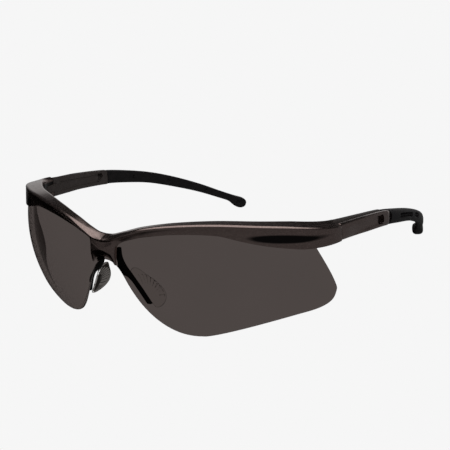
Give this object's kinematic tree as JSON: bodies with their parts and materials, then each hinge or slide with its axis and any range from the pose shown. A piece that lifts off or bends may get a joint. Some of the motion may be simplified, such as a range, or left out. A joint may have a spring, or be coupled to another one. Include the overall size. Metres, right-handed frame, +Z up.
{
  "type": "safety glasses",
  "caption": "Half-rim wrap-around safety glasses: smoke one-piece lens under a brow bar, nose bracket with soft pads, two folding temples with rubber sleeves.",
  "frame": {"origin": "on the table under the middle of the glasses' box, as they stand on the lens and the two temple tips", "axes": "+X to the wearer's left, +Y to the back along the temples, +Z up"},
  "size_m": [0.1466, 0.1633, 0.0447],
  "materials": {
    "frame_paint": "dark gunmetal metallic paint under clear gloss",
    "lens_smoke": "smoke-tinted polycarbonate, hard-coated",
    "bracket_black": "black satin moulding",
    "pad_smoke": "soft translucent smoke elastomer",
    "hinge_steel": "plain machined steel",
    "temple_satin": "satin brown-grey metallic moulding",
    "sleeve_rubber": "matte black soft rubber"
  },
  "bodies": {
    "front": {"brow_frame": "frame_paint", "lens": "lens_smoke", "nose_bracket": "bracket_black", "left_nose_pad": "pad_smoke", "right_nose_pad": "pad_smoke", "left_hinge_screw": "hinge_steel", "right_hinge_screw": "hinge_steel"},
    "left_temple": {"left_temple_arm": "temple_satin", "left_temple_cover": "frame_paint", "left_temple_sleeve": "sleeve_rubber", "left_core_wire": "hinge_steel"},
    "right_temple": {"right_temple_arm": "temple_satin", "right_temple_cover": "frame_paint", "right_temple_sleeve": "sleeve_rubber", "right_core_wire": "hinge_steel"}
  },
  "joints": [
    {"name": "left_temple_fold", "type": "hinge", "parent": "front", "child": "left_temple", "pos_m": [0.068, -0.0353, 0.036], "axis": [0, 0, 1], "range_deg": [0, 86]},
    {"name": "right_temple_fold", "type": "hinge", "parent": "front", "child": "right_temple", "pos_m": [-0.068, -0.0353, 0.036], "axis": [0, 0, -1], "range_deg": [0, 78]}
  ]
}
